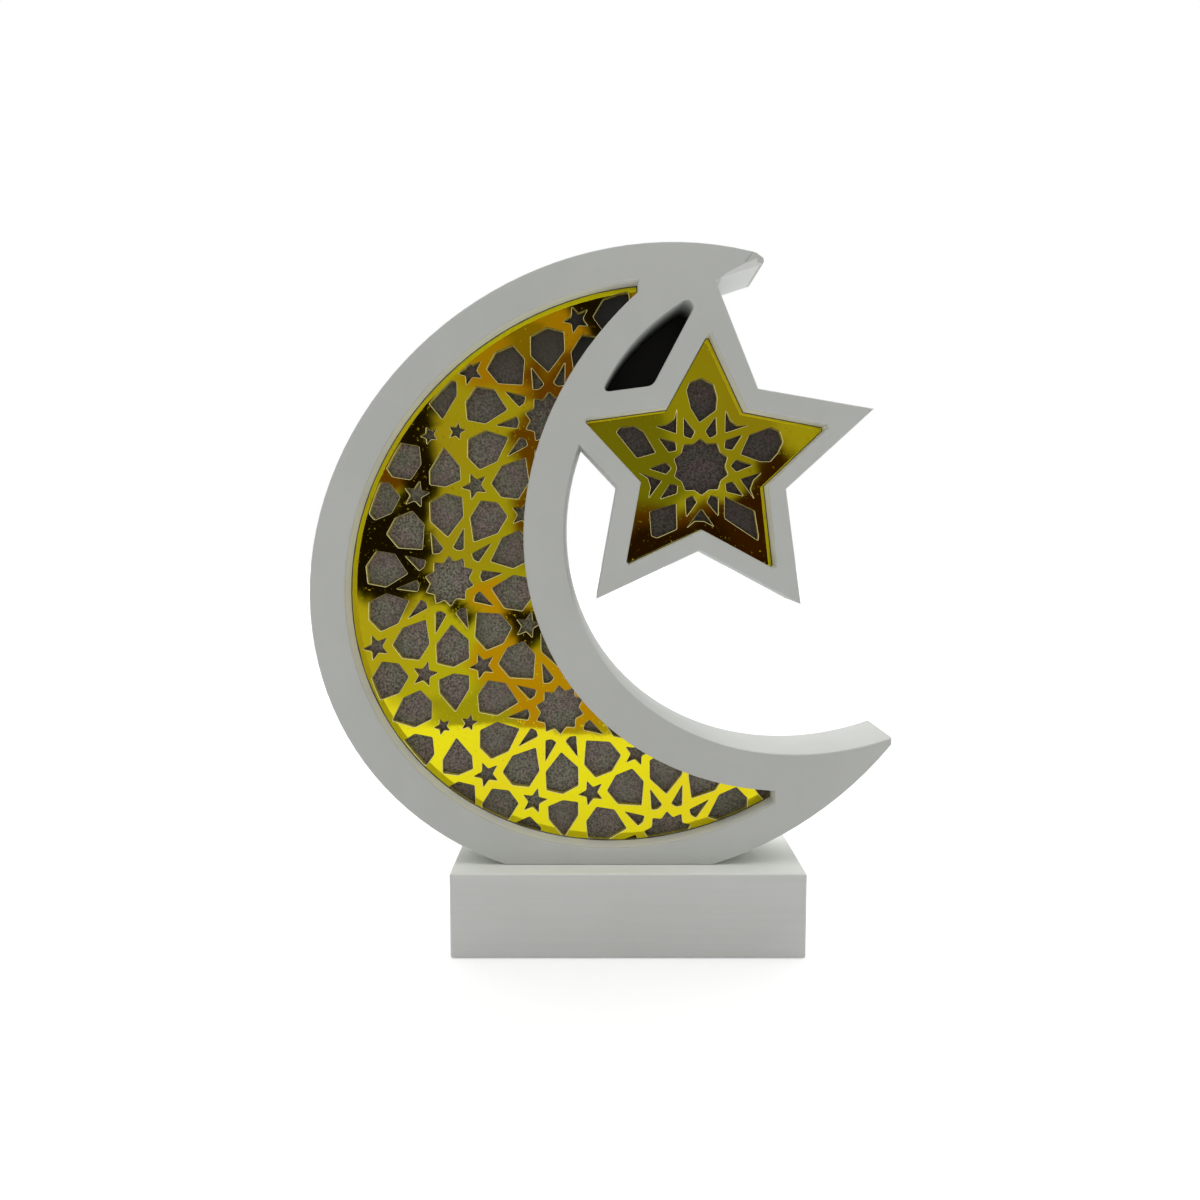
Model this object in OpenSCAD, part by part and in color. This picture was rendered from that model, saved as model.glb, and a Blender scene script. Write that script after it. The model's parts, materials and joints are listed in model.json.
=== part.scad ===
// Eid crescent ornament: a crescent with a star in its opening, cut from one thick
// painted board, standing on a block. Windows in both hold mirror fretwork over a
// light diffuser, lit from a chamber behind. Millimetres, +Z up, +Y to the rear.

/* [Crescent] */
// Short radius of the crescent's outer edge, which is an oval
moon_r = 104.1; // [100:0.1:106]
// Length of the outer oval over its width
moon_long_share = 1.107; // [1.06:0.001:1.14]
// How much shorter the bite's short radius is than the crescent's
bite_less = 21.8; // [20:0.1:24]
// Length of the bite over its width
bite_long_share = 1.14; // [1.1:0.01:1.17]
// Middle of the bite, to the right of the crescent's middle
bite_x = 64.6; // [63:0.1:67]
// Middle of the bite, above the crescent's middle
bite_z = 23.1; // [21:0.1:25]
// Turn of both ovals' long axis up from level, in degrees
oval_turn = 35; // [30:1:40]
// Wood between the outer edge and the window
outer_wall = 11.3; // [10:0.1:13]
// Wood between the bite and the window
inner_wall = 12.4; // [11:0.1:14]
// How much is cut off flat below the crescent, for its foot
foot_cut = 5.8; // [5:0.1:8]
// Reach of the blunt upper horn, from the crescent's middle
horn_reach = 40.5; // [38:0.1:42]
// How far the upper horn's nose lies below the outer edge
nose_drop = 2.4; // [2:0.1:3]
// Radius of the upper horn's nose
nose_r = 1.5; // [1:0.1:2]
// Reach of the blunt lower horn, from the crescent's middle
tip_reach = 86.7; // [84:0.1:87]
// Reach of the window's upper end, left of the crescent's middle
window_top_in = 0.8; // [0:0.1:6]
// Reach of the window's lower end, right of the crescent's middle
window_low_reach = 46.8; // [40:0.1:50]

/* [Star] */
// Radius of the star's points
star_r = 59; // [56:0.5:61]
// Radius of the inner corners between the points
star_inner_r = 30.3; // [28:0.1:32]
// How much deeper the two right inner corners are cut
star_inner_less = 0.9; // [0:0.1:1.5]
// Radius of the top point, which runs into the upper horn
star_top_r = 65.6; // [62:0.1:67]
// Lean of the top point to the left, in degrees
star_lean_angle = 1.2; // [0:0.1:2]
// Middle of the star, to the right of the crescent's middle
star_x = 21.3; // [20:0.1:23]
// Middle of the star, below the crescent's outer edge
star_drop = 70.2; // [69:0.1:72]
// Turn of the star, in degrees
star_turn = -1.5; // [-3:0.5:0]
// Wood between the star's edge and its window
star_wall = 7.1; // [6.5:0.1:8]
// How far the star's window is moved to the right in it
star_window_x = 0.5; // [0:0.1:1]
// How far the star's window is moved down in it
star_window_z = 1.2; // [0:0.1:1.6]
// How much is taken off each point of the star's window
star_blunt = 1.2; // [0.5:0.1:2]

/* [Board] */
// Thickness of the board from front to rear
board_t = 28.4; // [26:0.1:34]
// Depth of the window's lip in front of the fretwork
lip_t = 8; // [6:0.5:9]
// How far the lip overlaps the sheets behind it
ledge_w = 2; // [1.5:0.1:3]
// Thickness of the rear cover
cover_t = 3; // [2.5:0.1:4]
// Wood left around the rear cover
cover_rim = 3; // [2:0.1:3.5]

/* [Fretwork] */
// Thickness of the mirror sheet
fret_t = 2.5; // [2:0.1:3]
// Thickness of the diffuser sheet
diffuser_t = 2; // [1.5:0.1:3]
// Distance between the rosettes, before the pattern is stretched
rosette_pitch = 59; // [54:0.1:64]
// Middle of the first rosette, left of the crescent's middle
rosette_x = -65.5; // [-70:0.1:-60]
// Middle of the first rosette, above the crescent's middle
rosette_z = -4; // [-10:0.1:4]
// Turn of the crescent's pattern, in degrees
fret_turn = 5; // [0:0.5:10]
// Length over width of the stretched pattern
fret_long_share = 1.122; // [1:0.001:1.15]
// Direction in which the pattern is stretched, in degrees
fret_long_turn = 49; // [30:1:60]
// Reach of the rosette in the star
star_rosette_r = 30.8; // [28:0.1:31]
// How far the star's rosette lies below the star's middle
star_rosette_low = 2; // [1:0.1:3]
// Turn of the star's rosette, in degrees
star_fret_turn = 2; // [-2:0.5:4]
// How far the pattern's edge is moved to the right of the window's
fret_shift_x = 1.9; // [0:0.1:2.5]
// How far the pattern's edge is moved below the window's
fret_shift_z = 1.3; // [0:0.1:2]

/* [Base] */
// Width of the block
base_w = 121; // [116:1:130]
// Depth of the block
base_d = 44.4; // [43:0.1:60]
// Height of the block
base_h = 29.6; // [29:0.1:40]
// Middle of the block, from the middle of the whole width
base_x = 8.7; // [6:0.1:12]
// Middle of the crescent, from the middle of the whole width
moon_x = 12.5; // [10:0.1:15]

/* [Batteries] */
// Diameter of a cell
cell_d = 10.5; // [10.5:0.1:10.8]
// Length of a cell without its nub
cell_l = 43.7; // [43.3:0.1:44]
// Wall of the battery box
box_wall = 1.2; // [1:0.1:1.5]
// Thickness of the battery door
door_t = 1.6; // [1.4:0.1:2]
// Angle that the battery door opens, in degrees
door_swing = 80; // [60:5:85]

/* [Switch] */
// Length of the switch frame
switch_l = 19.8; // [19:0.1:21]
// Travel of the slider
switch_travel = 2; // [1.5:0.1:2.5]
// Middle of the switch, in from the block's right end
switch_in = 15.5; // [13:0.5:18]

/* [Hidden] */

// Overrun of every cut, and the clearances
cut = 1;
fit_gap = 0.2;
glue_t = 0.1;
$fn = 48;
// Angle between two points on an oval's edge
arc_angle = 3;

function turned(p, a) = [p[0] * cos(a) - p[1] * sin(a), p[0] * sin(a) + p[1] * cos(a)];
function polar(r, a) = [r * cos(a), r * sin(a)];
function stretched(p, k, a) = let (q = turned(p, -a)) turned([q[0] * k, q[1]], a);
function oval_point(c, r, k, a) = c + turned([r * k * cos(a), r * sin(a)], oval_turn);
function rise(r, k) = norm([r * k * sin(oval_turn), r * cos(oval_turn)]);
// Height of an oval's upper edge above its middle, at x to the right of its middle
function oval_top(r, k, x) = let (c = cos(oval_turn), s = sin(oval_turn),
    xx = (c * c / k / k + s * s) / r / r, zz = (s * s / k / k + c * c) / r / r,
    xz = 2 * s * c * (1 / k / k - 1) / r / r)
    (sqrt(xz * xz * x * x - 4 * zz * (xx * x * x - 1)) - xz * x) / 2 / zz;

// Places in the board's plane, as [x, z]
bite_r = moon_r - bite_less;
moon_c = [moon_x, base_h + rise(moon_r, moon_long_share) - foot_cut];
bite_c = moon_c + [bite_x, bite_z];
star_c = moon_c + [star_x, oval_top(moon_r, moon_long_share, star_x) - star_drop];
star_window_c = star_c + [star_window_x, -star_window_z];
nose_x = horn_reach - nose_r;
nose_c = moon_c + [nose_x, oval_top(moon_r, moon_long_share, nose_x) - nose_drop];
tip_x = moon_c[0] + tip_reach;

// Levels through the board, along Y
front_y = -board_t / 2;
fret_y = front_y + lip_t;
diffuser_y = fret_y + fret_t;
chamber_y = diffuser_y + diffuser_t;
cover_y = front_y + board_t - cover_t;

// Places of a flat sheet: its outline is drawn in X and Z, its thickness is along Y
module sheet(y, t) translate([0, y + t, 0]) rotate([90, 0, 0]) linear_extrude(t) children();
module at(p, y) translate([p[0], y, p[1]]) children();
module oval(c, r, k) polygon([for (a = [0:arc_angle:360 - arc_angle]) oval_point(c, r, k, a)]);
module rod(a, b, d) {
    v = b - a;
    translate(a) rotate([0, acos(v[2] / norm(v)), atan2(v[1], v[0])])
        cylinder(h = norm(v), d = d);
}
// A lead along its points, with round corners
module lead(points, d) {
    for (i = [0:len(points) - 2]) rod(points[i], points[i + 1], d);
    if (len(points) > 2) for (i = [1:len(points) - 2]) translate(points[i]) sphere(d = d);
}

// Outlines of the wooden parts. A wall of zero is the outer edge itself.
point_angle = 72;
half_angle = 36;
star_side = norm(polar(star_r, 0) - polar(star_inner_r, half_angle));
star_flat_r = star_r * star_inner_r * sin(half_angle) / star_side;
function star_scale(wall) = 1 - wall / star_flat_r;
// Point i of the star, round from the top. The outer edge has the long top point, which
// leans, and the deeper inner corners. The window doesn't.
function star_point(i, wall, outer = true) = polar(
    (i % 2 == 1 ? star_inner_r - (outer && i > 6 ? star_inner_less : 0)
        : outer && i == 0 ? star_top_r : star_r) * star_scale(wall),
    90 + star_turn + half_angle * i + (outer && i == 0 ? star_lean_angle : 0));
module star_shape(wall, outer = true)
    polygon([for (i = [0:9]) star_point(i, wall, outer)]);
module crescent_shape(outer_in, inner_in) difference() {
    oval(moon_c, moon_r - outer_in, moon_long_share);
    oval(bite_c, bite_r + inner_in, bite_long_share);
}
// Takes off the foot and both horns' sharp ends
horn_bevel_angle = 53;
module blunted(wall) difference() {
    children();
    translate([-moon_r * 2, base_h + wall - moon_r]) square([moon_r * 4, moon_r]);
    translate([nose_c[0] + nose_r - wall, star_c[1] + star_r]) square([moon_r, moon_r]);
    translate(nose_c) rotate(horn_bevel_angle) translate([nose_r - wall, -moon_r / 2]) square(moon_r);
    translate([tip_x - wall, base_h]) square([moon_r, moon_r]);
}
module board_shape() {
    blunted(0) {
        crescent_shape(0, 0);
        translate(star_c) star_shape(0);
    }
    translate(nose_c) circle(nose_r);
}
// The crescent's window ends bluntly at both horns
module crescent_window(grow) difference() {
    crescent_shape(outer_wall - grow, inner_wall - grow);
    translate([moon_c[0] - window_top_in + grow, star_c[1]]) square([moon_r, moon_r]);
    translate([moon_c[0] + window_low_reach + grow, 0]) square([moon_r, star_c[1]]);
}
module star_window(grow) translate(star_window_c) intersection() {
    star_shape(star_wall - grow, false);
    circle(star_r * star_scale(star_wall - grow) - star_blunt);
}

// The cover's outline also closes the small gap between the crescent and the star
cover_gap_angle = 104;
module cover_shape(wall) blunted(wall) {
    crescent_shape(wall, wall);
    translate(star_c) star_shape(wall);
    polygon([star_c, star_c + star_point(0, wall),
        oval_point(bite_c, bite_r + 2 * cover_rim, bite_long_share, cover_gap_angle),
        star_c + star_point(2, wall)]);
}

// Screws that hold the cover, along the crescent's outer wall
cover_screw_angles = [50, 95, 140, 180, 212, 268];
cover_screw_d = 2.4;
cover_screw_l = 10;
cover_head_d = 4.6;
cover_head_h = 1.3;
cover_screw_r = moon_r - (cover_rim + outer_wall - ledge_w) / 2;
function cover_screw_place(a) = oval_point(moon_c, cover_screw_r, moon_long_share, a);

// A countersunk screw with its head's face at the origin, pointing along -Z. The slots of
// its cross are as long and wide as these shares of the head.
slot_l_share = 0.7;
slot_w_share = 0.14;
module screw(d, length, head_d, head_h) {
    difference() {
        translate([0, 0, -head_h]) cylinder(h = head_h, d1 = d, d2 = head_d);
        for (a = [0, 90]) rotate([0, 0, a]) translate([0, 0, -head_h / 4])
            cube([head_d * slot_l_share, head_d * slot_w_share, head_h / 2 + fit_gap], center = true);
    }
    translate([0, 0, -length]) cylinder(h = length - head_h, d = d);
}
module screw_hole(d, length, head_d, head_h) {
    translate([0, 0, -head_h]) cylinder(h = head_h, d1 = d + fit_gap, d2 = head_d + fit_gap);
    cylinder(h = cut, d = head_d + fit_gap);
    translate([0, 0, -length - cut]) cylinder(h = length, d = d + fit_gap);
}
module cover_screw_places() for (a = cover_screw_angles)
    at(cover_screw_place(a), front_y + board_t) rotate([-90, 0, 0]) children();

// Light strip on the chamber's inner wall, and its chips
strip_w = 8;
strip_t = 0.4;
strip_y = chamber_y + (cover_y - chamber_y - strip_w) / 3;
strip_r = bite_r + inner_wall - ledge_w + glue_t;
strip_start_angle = 100;
strip_end_angle = 227;
led_angle = 11;
led_w = 3.5;
led_h = 2.8;
led_t = 0.8;

// Star's light board
star_board_r = 13;
star_board_t = 1.6;
star_led_r = 8;

// Leads
lead_d = 1.2;
lead_bore_d = 3.2;
lead_gap = 1.3;

// Screws that hold the frame on the block
frame_screw_d = 4;
frame_screw_l = 30;
frame_head_d = 8;
frame_head_h = 2.2;
frame_screw_sink = 6;
frame_screw_x = 35.6;

// Battery box: its middle is the block's middle
cells = 3;
cell_gap = 0.8;
cell_nub_d = 3.8;
cell_nub_h = 0.8;
spring_h = 3.6;
plate_t = 0.4;
plate_w = 8;
door_sink = 0.6;
box_gap = 0.3;
box_floor = 0.3;
finger_d = 9;
rib_drop = 2.1;
box_in_l = cell_l + cell_nub_h + spring_h + 2 * plate_t;
box_in_w = cells * cell_d + (cells - 1) * cell_gap + 2 * box_gap;
box_l = box_in_l + 2 * box_wall;
box_w = box_in_w + 2 * box_wall;
box_low_z = door_sink + door_t + fit_gap;
cell_z = box_low_z + box_floor + cell_d / 2;
box_in_top = cell_z + cell_d / 2 + box_floor;
box_top = box_in_top + box_wall;
hinge_pin_d = 1.6;
hinge_gap = 0.08;
hinge_in = 2.6;
hinge_x = base_x - box_l / 2 + hinge_in;
hinge_z = door_sink + door_t / 2;
function cell_y(i) = (i - (cells + 1) / 2) * (cell_d + cell_gap);
groove_z = box_top + lead_d / 2 + fit_gap;
groove_w = lead_d + 4 * fit_gap;

// Switch: its frame sits on the floor of a recess in the block's rear face
switch_h = 6.4;
switch_frame_t = 0.8;
switch_body_l = 11.6;
switch_body_d = 6;
switch_recess_gap = 1.1;
switch_recess_l = switch_l + 2 * switch_recess_gap;
switch_recess_h = 9;
switch_sink = 4;
switch_pin_d = 0.8;
switch_pin_l = 3;
switch_pin_gap = 3.9;
slider_w = 2.4;
slider_h = 3.2;
slider_out = 2.8;
slider_in = 3;
slider_rim = 0.8;
switch_screw_d = 2;
switch_screw_l = 7;
switch_head_d = 3.8;
switch_head_h = 1.2;
switch_screw_gap = 15;
rear_y = base_d / 2;
switch_y = rear_y - switch_sink;
switch_z = groove_z;
switch_mid_x = base_x + base_w / 2 - switch_in;

// Places that the leads run through
pin_end_y = switch_y - switch_body_d - switch_pin_l;
lead_y = pin_end_y - (lead_d - lead_gap) / 2;
red_y = lead_y + lead_gap / 2;
black_y = lead_y - lead_gap / 2;
link_y = lead_y - lead_gap * 3 / 2;
plus_x = base_x + box_in_l / 2 - lead_d / 2 - fit_gap;
minus_x = base_x - box_in_l / 2 + lead_d / 2 + fit_gap;
lead_angle = 203;
lead_top = oval_point(bite_c, strip_r + strip_t + lead_d / 2 + glue_t, bite_long_share, lead_angle);
lead_x = lead_top[0];
lead_top_z = lead_top[1];
link_angle = 122;
link_bore_share = 0.4;
link_a = oval_point(bite_c, strip_r + 2 * lead_d, bite_long_share, link_angle);
link_b = star_c + polar(star_board_r - lead_d, 170);
link_mid = link_a + (link_b - link_a) * link_bore_share;
star_lead_y = cover_y - star_board_t - lead_d / 2;

module moon_star_frame() color("white") difference() {
    sheet(front_y, board_t) board_shape();
    sheet(front_y - cut, lip_t + 2 * cut) {
        crescent_window(0);
        star_window(0);
    }
    sheet(fret_y, cover_y - fret_y + cut) {
        crescent_window(ledge_w);
        star_window(ledge_w);
    }
    sheet(cover_y, cover_t + cut) cover_shape(cover_rim - fit_gap);
    cover_screw_places() screw_hole(cover_screw_d, cover_screw_l, cover_head_d, cover_head_h);
    rod([link_mid[0], star_lead_y, link_mid[1]], [link_a[0], star_lead_y, link_a[1]],
        2 * lead_d);
    translate([lead_x, lead_y, base_h - cut])
        cylinder(h = foot_cut + outer_wall, d = lead_bore_d);
    for (s = [-1, 1]) translate([base_x + s * frame_screw_x, 0, base_h - cut])
        cylinder(h = frame_screw_l + frame_screw_sink - base_h + cut + fit_gap,
            d = frame_screw_d + fit_gap);
}

// The ten-fold rosette. Radii and half widths are shares of half the rosettes' distance,
// each point is [along the petal, across it].
petal_shares = [[0.485, 0], [0.686, 0.184], [0.894, 0.181], [0.965, 0],
    [0.894, -0.181], [0.686, -0.184]];
dart_shares = [[0.338, 0], [0.363, 0.064], [0.594, 0], [0.363, -0.064]];
shield_shares = [[0.15, 0], [0.382, 0.167], [0.532, 0.171], [0.58, 0],
    [0.532, -0.171], [0.382, -0.167]];
eye_tip_share = 0.28;
eye_notch_share = 0.212;
small_star_share = 0.15;
waist_star_share = 0.1;
waist_star_x_share = 0.15;
small_notch_share = 0.44;
rosette_half = rosette_pitch / 2;
vertex_r = rosette_half / cos(18);
waist_z = rosette_pitch * sin(54);

// A point of the crescent's pattern, from the flat lattice to the board's plane
function fret_place(p) = moon_c + [rosette_x, rosette_z]
    + stretched(turned(p, fret_turn), fret_long_share, fret_long_turn);
function lattice(i, j) = i * polar(rosette_pitch, -54) + j * polar(rosette_pitch, 54);
function star_outline(tip, notch, n, a) =
    [for (i = [0:2 * n - 1]) polar(i % 2 == 0 ? tip : notch, a + 180 / n * i)];
function shaped(shares, size, a) = [for (s = shares) turned(s * size, a)];
// Openings of one cell of the lattice: the rosette's, and the knot's between four rosettes.
// Each is [middle, outline, how far its middle may lie beyond the pattern's edge].
petal_mid_share = 0.72;
dart_mid_share = 0.45;
shield_mid_share = 0.39;
petal_over = 3.5;
small_over = -0.6;
function moved(outline, c) = [for (p = outline) c + p];
function small_star(c, share, a) = [c, moved(star_outline(share * rosette_half,
    share * small_notch_share * rosette_half, 5, a), c), small_over];
function rosette_openings(c) = concat(
    [[c, moved(star_outline(eye_tip_share * rosette_half, eye_notch_share * rosette_half,
        10, 90), c), petal_over]],
    [for (a = [90:half_angle:414]) [c + polar(petal_mid_share * rosette_half, a),
        moved(shaped(petal_shares, rosette_half, a), c), petal_over]],
    [for (a = [72:half_angle:396]) [c + polar(dart_mid_share * rosette_half, a),
        moved(shaped(dart_shares, rosette_half, a), c), small_over]],
    [for (a = [72, 108, 252, 288]) small_star(c + polar(vertex_r, a), small_star_share, a + 180)]);
function knot_openings(c) = concat(
    [for (a = [90, 270]) [c + polar(shield_mid_share * rosette_half, a),
        moved(shaped(shield_shares, rosette_half, a), c), petal_over]],
    [for (a = [0, 180])
        small_star(c + polar(waist_star_x_share * rosette_half, a), waist_star_share, a)]);

// The pattern ends on the window's oval, moved a little. One small star is left out.
pattern_c = moon_c + [fret_shift_x, -fret_shift_z];
plain_star = lattice(-1, 0) + polar(vertex_r, 288);
function beyond_edge(p) = let (q = turned(p - pattern_c, -oval_turn))
    norm([q[0] / moon_long_share, q[1]]) - moon_r + outer_wall;
function is_cut(o) = beyond_edge(fret_place(o[0])) < o[2] && norm(o[0] - plain_star)
    > small_star_share * rosette_half;

module crescent_fretwork() color("gold") sheet(fret_y, fret_t) difference() {
    crescent_window(ledge_w - fit_gap);
    intersection() {
        crescent_window(0);
        oval(pattern_c, moon_r - outer_wall, moon_long_share);
        for (i = [-2:3], j = [-2:2]) {
            for (o = concat(rosette_openings(lattice(i, j)),
                knot_openings(lattice(i, j) + [0, waist_z])))
                if (is_cut(o)) polygon([for (p = o[1]) fret_place(p)]);
        }
    }
}

// Openings of the star's panel: an eye, ten darts, a hollow-sided triangle at each notch, and
// a petal in each point. The petals differ, as shares of the rosette's reach.
star_eye_share = 0.314;
star_eye_notch_share = 0.265;
star_dart_shares = [[0.33, 0], [0.39, 0.066], [0.575, 0], [0.39, -0.066]];
star_corner_shares = [[0.46, -0.008], [0.664, 0.125], [0.603, 0.023], [0.596, -0.087],
    [0.666, -0.171]];
top_petal_shares = [[0.491, 0.005], [0.647, 0.096], [0.845, 0.139], [0.928, 0.104],
    [0.975, -0.03], [0.902, -0.16], [0.759, -0.197], [0.62, -0.183]];
right_petal_shares = [[0.46, -0.018], [0.62, 0.147], [0.876, 0.147], [0.951, 0.072],
    [0.949, -0.048], [0.858, -0.143], [0.744, -0.206], [0.641, -0.169]];
left_petal_shares = [[0.53, -0.012], [0.713, 0.102], [1.015, -0.107], [0.986, -0.171],
    [0.838, -0.227], [0.724, -0.195]];
low_left_petal_shares = [[0.491, 0], [0.721, 0.166], [0.924, 0.039], [0.94, -0.027],
    [0.729, -0.195]];
low_right_petal_shares = [[0.421, 0.009], [0.752, 0.174], [0.995, 0.044], [1.042, 0.006],
    [0.613, -0.138]];
star_petals = [[90, top_petal_shares], [18, right_petal_shares], [162, left_petal_shares],
    [234, low_left_petal_shares], [306, low_right_petal_shares]];
function star_place(p) = star_c + [0, -star_rosette_low] + turned(p, star_fret_turn);

module star_fretwork() color("gold") sheet(fret_y, fret_t) difference() {
    star_window(ledge_w - fit_gap);
    for (o = concat(
        [star_outline(star_eye_share * star_rosette_r,
            star_eye_notch_share * star_rosette_r, 10, 90)],
        [for (i = [0:9]) shaped(star_dart_shares, star_rosette_r, half_angle * i)],
        [for (i = [0:4]) shaped(star_corner_shares, star_rosette_r, 54 + point_angle * i)],
        [for (petal = star_petals) shaped(petal[1], star_rosette_r, petal[0])]))
        polygon([for (p = o) star_place(p)]);
}

module crescent_diffuser() color("dimgray") sheet(diffuser_y, diffuser_t)
    crescent_window(ledge_w - fit_gap);
module star_diffuser() color("dimgray") sheet(diffuser_y, diffuser_t)
    star_window(ledge_w - fit_gap);

module crescent_led_strip() color("ivory") sheet(strip_y, strip_w) polygon(concat(
    [for (a = [strip_start_angle:arc_angle:strip_end_angle])
        oval_point(bite_c, strip_r, bite_long_share, a)],
    [for (a = [strip_end_angle:-arc_angle:strip_start_angle])
        oval_point(bite_c, strip_r + strip_t, bite_long_share, a)]));
module crescent_leds() color("khaki")
    for (a = [strip_start_angle + led_angle / 2:led_angle:strip_end_angle]) {
        p = oval_point(bite_c, strip_r + strip_t, bite_long_share, a);
        q = oval_point(bite_c, strip_r + strip_t, bite_long_share, a + 1) - p;
        at(p, strip_y + strip_w / 2) rotate([0, -atan2(q[1], q[0]), 0])
            translate([0, 0, -led_t / 2]) cube([led_w, led_h, led_t], center = true);
    }

module star_led_board() color("ivory") at(star_c, cover_y) rotate([90, 0, 0])
    cylinder(h = star_board_t, r = star_board_r);
module star_leds() color("khaki") at(star_c, cover_y - star_board_t - led_t / 2) {
    cube([led_w, led_t, led_h], center = true);
    for (i = [0:4]) rotate([0, -point_angle * i - half_angle / 2, 0]) translate([star_led_r, 0, 0])
        cube([led_h, led_t, led_w], center = true);
}

module rear_cover() color("white") difference() {
    sheet(cover_y, cover_t) cover_shape(cover_rim);
    cover_screw_places() screw_hole(cover_screw_d, cover_screw_l, cover_head_d, cover_head_h);
}
module cover_screws() color("silver") cover_screw_places()
    screw(cover_screw_d, cover_screw_l, cover_head_d, cover_head_h);

module base_block() color("white") difference() {
    translate([base_x - base_w / 2, -base_d / 2, 0]) cube([base_w, base_d, base_h]);
    // Pocket for the battery box, with a finger hollow at the door's free end
    translate([base_x - box_l / 2 - fit_gap, -box_w / 2 - fit_gap, -cut])
        cube([box_l + 2 * fit_gap, box_w + 2 * fit_gap, box_top + cut]);
    translate([base_x + box_l / 2, 0, -cut]) cylinder(h = door_sink + door_t + cut, d = finger_d);
    // Grooves over the box and a bore for the leads
    translate([minus_x - groove_w / 2, link_y - groove_w / 2, box_top - cut])
        cube([base_x + box_l / 2 - minus_x + groove_w / 2,
            red_y - link_y + groove_w, cut + lead_d + 2 * fit_gap]);
    translate([minus_x - groove_w / 2, -link_y - groove_w, box_top - cut])
        cube([groove_w, 2 * link_y + groove_w, cut + lead_d + 2 * fit_gap]);
    translate([lead_x, lead_y, box_top - cut]) cylinder(h = base_h, d = lead_bore_d);
    rod([base_x + box_l / 2 - cut, (black_y + link_y) / 2, groove_z],
        [switch_mid_x - switch_body_l / 2 + cut, (black_y + link_y) / 2, groove_z], lead_bore_d);
    // Screws from below
    for (s = [-1, 1]) translate([base_x + s * frame_screw_x, 0, 0]) {
        translate([0, 0, -cut]) cylinder(h = frame_screw_sink + cut, d = frame_head_d + fit_gap);
        translate([0, 0, frame_screw_sink]) cylinder(h = frame_head_h,
            d1 = frame_head_d + fit_gap, d2 = frame_screw_d + fit_gap);
        cylinder(h = base_h + cut, d = frame_screw_d + fit_gap);
    }
    // Recess and cavity for the switch
    translate([switch_mid_x - switch_recess_l / 2, switch_y, switch_z - switch_recess_h / 2])
        cube([switch_recess_l, switch_sink + cut, switch_recess_h]);
    translate([switch_mid_x - switch_body_l / 2 - fit_gap, link_y - groove_w / 2,
        switch_z - switch_h / 2 - fit_gap])
        cube([switch_body_l + 2 * fit_gap, switch_y + cut - link_y + groove_w / 2,
            switch_h + 2 * fit_gap]);
    for (s = [-1, 1]) translate([switch_mid_x + s * switch_screw_gap / 2, switch_y + cut, switch_z])
        rotate([90, 0, 0]) cylinder(h = switch_screw_l + cut, d = switch_screw_d + fit_gap);
}
module frame_screws() color("silver") for (s = [-1, 1])
    translate([base_x + s * frame_screw_x, 0, frame_screw_sink]) rotate([180, 0, 0])
        screw(frame_screw_d, frame_screw_l, frame_head_d, frame_head_h);

module battery_box() color("dimgray") difference() {
    union() {
        translate([base_x - box_l / 2, -box_w / 2, box_low_z]) cube([box_l, box_w, box_top - box_low_z]);
        for (s = [-1, 1]) translate([hinge_x, s * (box_w - box_wall) / 2, (box_low_z + door_sink) / 2])
            cube([2 * door_t, box_wall, box_low_z - door_sink + fit_gap], center = true);
    }
    difference() {
        translate([base_x - box_in_l / 2, -box_in_w / 2, box_low_z - cut])
            cube([box_in_l, box_in_w, box_in_top - box_low_z + cut]);
        for (i = [1:cells - 1]) translate([base_x, cell_y(i) + (cell_d + cell_gap) / 2,
            box_in_top + (cut - rib_drop) / 2])
            cube([cell_l, box_wall, rib_drop + cut], center = true);
    }
    translate([hinge_x, 0, hinge_z]) rotate([90, 0, 0])
        cylinder(h = box_w + 2 * cut, d = hinge_pin_d + 2 * hinge_gap, center = true);
    for (p = [[plus_x, red_y], [minus_x, -link_y]]) translate([p[0], p[1], box_in_top - cut])
        cylinder(h = box_wall + 2 * cut, d = lead_d + 2 * fit_gap);
}

module battery_cell(i) {
    side = i % 2 == 0 ? -1 : 1;
    translate([base_x + side * (spring_h - cell_nub_h) / 2, cell_y(i), cell_z])
        rotate([0, side * 90, 0]) {
        color("goldenrod") translate([0, 0, -cell_l / 2]) cylinder(h = cell_l, d = cell_d);
        color("silver") translate([0, 0, cell_l / 2]) cylinder(h = cell_nub_h, d = cell_nub_d);
    }
}

// Coil springs at the cells' flat ends, cone-shaped, and flat plates at their nubs
spring_wire_d = 0.6;
spring_turns = 3;
spring_wide_r = 3.6;
spring_slim_r = 2.2;
spring_steps = 14;
spring_sides = 6;
spring_lift = (spring_h - spring_wire_d) / spring_turns;
function spring_mid(t) = concat(
    polar(spring_wide_r - (spring_wide_r - spring_slim_r) * t / spring_turns, 360 * t),
    [spring_wire_d / 2 + spring_lift * t]);
function spring_ring(t) = [for (s = [0:spring_sides - 1]) let (a = 360 / spring_sides * s)
    spring_mid(t) + spring_wire_d / 2 * [cos(a) * cos(360 * t), cos(a) * sin(360 * t), sin(a)]];
spring_rings = spring_turns * spring_steps;
module spring() polyhedron(
    points = [for (i = [0:spring_rings]) each spring_ring(i / spring_steps)],
    faces = concat([[for (s = [spring_sides - 1:-1:0]) s]],
        [for (i = [0:spring_rings - 1], s = [0:spring_sides - 1])
            let (a = i * spring_sides + s, b = i * spring_sides + (s + 1) % spring_sides)
            each [[a, b, b + spring_sides], [a, b + spring_sides, a + spring_sides]]],
        [[for (s = [0:spring_sides - 1]) spring_rings * spring_sides + s]]));
echo(spring_gap = min([for (i = [0:spring_rings - spring_steps])
    norm(spring_mid(i / spring_steps) - spring_mid(i / spring_steps + 1)) - spring_wire_d]));
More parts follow.
